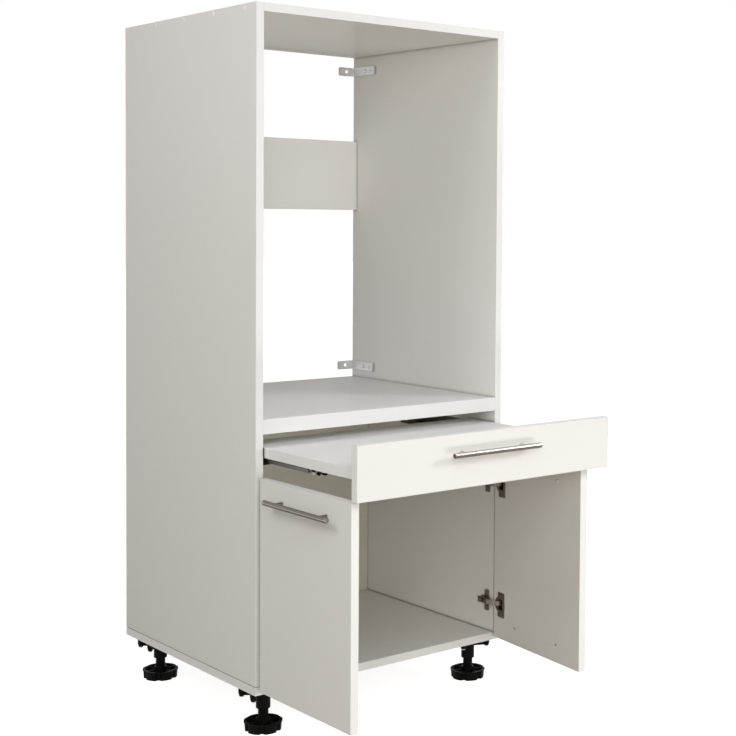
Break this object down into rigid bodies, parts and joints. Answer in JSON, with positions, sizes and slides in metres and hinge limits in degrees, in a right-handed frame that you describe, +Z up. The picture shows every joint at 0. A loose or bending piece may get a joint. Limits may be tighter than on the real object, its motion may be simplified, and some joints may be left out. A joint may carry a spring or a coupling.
{
  "type": "kitchen appliance cabinet",
  "caption": "Mid-height kitchen cabinet on adjustable feet: open appliance niche over a pull-out board on runners and a cupboard with hinged doors and bar handles.",
  "frame": {"origin": "on the floor, at the middle of the carcass's width and depth", "axes": "+X to the right seen from the front, +Y to the back, +Z up; the doors and the pull-out face -Y"},
  "size_m": [0.6362, 0.881, 1.38],
  "materials": {
    "white_board": "white melamine-faced board, satin",
    "back_board": "thin white fibreboard, satin",
    "zinc_steel": "zinc-plated",
    "bracket_steel": "zinc-plated sheet",
    "white_cap": "smooth",
    "beech": "raw turned wood",
    "dark_runner": "dark coated sheet steel",
    "black_plastic": "moulded, slightly rough",
    "light_clip": "moulded",
    "brushed_nickel": "brushed nickel",
    "hinge_nickel": "nickel-plated sheet"
  },
  "bodies": {
    "carcass": {"left_side_panel": "white_board", "right_side_panel": "white_board", "top_panel": "white_board", "bottom_panel": "white_board", "appliance_shelf": "white_board", "back_rail": "white_board", "lower_back_panel": "back_board", "top_screws": "zinc_steel", "top_screw_caps": "white_cap", "bottom_screws": "zinc_steel", "shelf_dowels": "beech", "rail_dowels": "beech", "bracket_upper_left": "bracket_steel", "bracket_upper_right": "bracket_steel", "bracket_lower_left": "bracket_steel", "bracket_lower_right": "bracket_steel", "bracket_screws": "zinc_steel", "runner_left": "dark_runner", "runner_right": "dark_runner", "runner_end_caps": "black_plastic", "runner_screws": "zinc_steel", "left_hinge_plates": "hinge_nickel", "right_hinge_plates": "hinge_nickel", "left_hinge_arms": "hinge_nickel", "right_hinge_arms": "hinge_nickel", "plate_screws": "zinc_steel", "arm_screws": "zinc_steel", "foot_sockets": "black_plastic", "socket_screws": "zinc_steel"},
    "pull_out": {"pull_out_board": "white_board", "pull_out_front": "white_board", "front_dowels": "beech", "board_clips": "light_clip", "clip_levers": "black_plastic", "pull_out_handle": "brushed_nickel", "pull_out_handle_screws": "zinc_steel", "rider_left": "dark_runner", "rider_right": "dark_runner", "rider_screws": "zinc_steel"},
    "slide_member_left": {"slide_left": "dark_runner"},
    "slide_member_right": {"slide_right": "dark_runner"},
    "door_left": {"left_door": "white_board", "left_handle": "brushed_nickel", "left_handle_screws": "zinc_steel", "left_hinge_cups": "hinge_nickel", "left_cup_screws": "zinc_steel"},
    "door_right": {"right_door": "white_board", "right_handle": "brushed_nickel", "right_handle_screws": "zinc_steel", "right_hinge_cups": "hinge_nickel", "right_cup_screws": "zinc_steel"},
    "leg_front_left": {"foot_front_left": "black_plastic", "stem_front_left": "black_plastic"},
    "leg_front_right": {"foot_front_right": "black_plastic", "stem_front_right": "black_plastic"},
    "leg_rear_left": {"foot_rear_left": "black_plastic", "stem_rear_left": "black_plastic"},
    "leg_rear_right": {"foot_rear_right": "black_plastic", "stem_rear_right": "black_plastic"}
  },
  "joints": [
    {"name": "pull_out_slide", "type": "slide", "parent": "carcass", "child": "pull_out", "axis": [0, -1, 0], "range_m": [-0.308, 0]},
    {"name": "runner_slide_left", "type": "slide", "parent": "carcass", "child": "slide_member_left", "axis": [0, -1, 0], "range_m": [-0.154, 0]},
    {"name": "runner_slide_right", "type": "slide", "parent": "carcass", "child": "slide_member_right", "axis": [0, -1, 0], "range_m": [-0.154, 0]},
    {"name": "left_door_hinge", "type": "hinge", "parent": "carcass", "child": "door_left", "pos_m": [-0.292, -0.2798, 0.293], "axis": [0, 0, -1], "range_deg": [-90, 10]},
    {"name": "right_door_hinge", "type": "hinge", "parent": "carcass", "child": "door_right", "pos_m": [0.292, -0.2798, 0.293], "axis": [0, 0, 1], "range_deg": [-84, 16]},
    {"name": "leg_front_left_screw", "type": "slide", "parent": "carcass", "child": "leg_front_left", "axis": [0, 0, -1], "range_m": [-0.004, 0.025]},
    {"name": "leg_front_right_screw", "type": "slide", "parent": "carcass", "child": "leg_front_right", "axis": [0, 0, -1], "range_m": [-0.004, 0.025]},
    {"name": "leg_rear_left_screw", "type": "slide", "parent": "carcass", "child": "leg_rear_left", "axis": [0, 0, -1], "range_m": [-0.004, 0.025]},
    {"name": "leg_rear_right_screw", "type": "slide", "parent": "carcass", "child": "leg_rear_right", "axis": [0, 0, -1], "range_m": [-0.004, 0.025]}
  ],
  "couplings": [
    {"joint": "runner_slide_left", "follows": "pull_out_slide", "ratio": 0.5},
    {"joint": "runner_slide_right", "follows": "pull_out_slide", "ratio": 0.5}
  ]
}
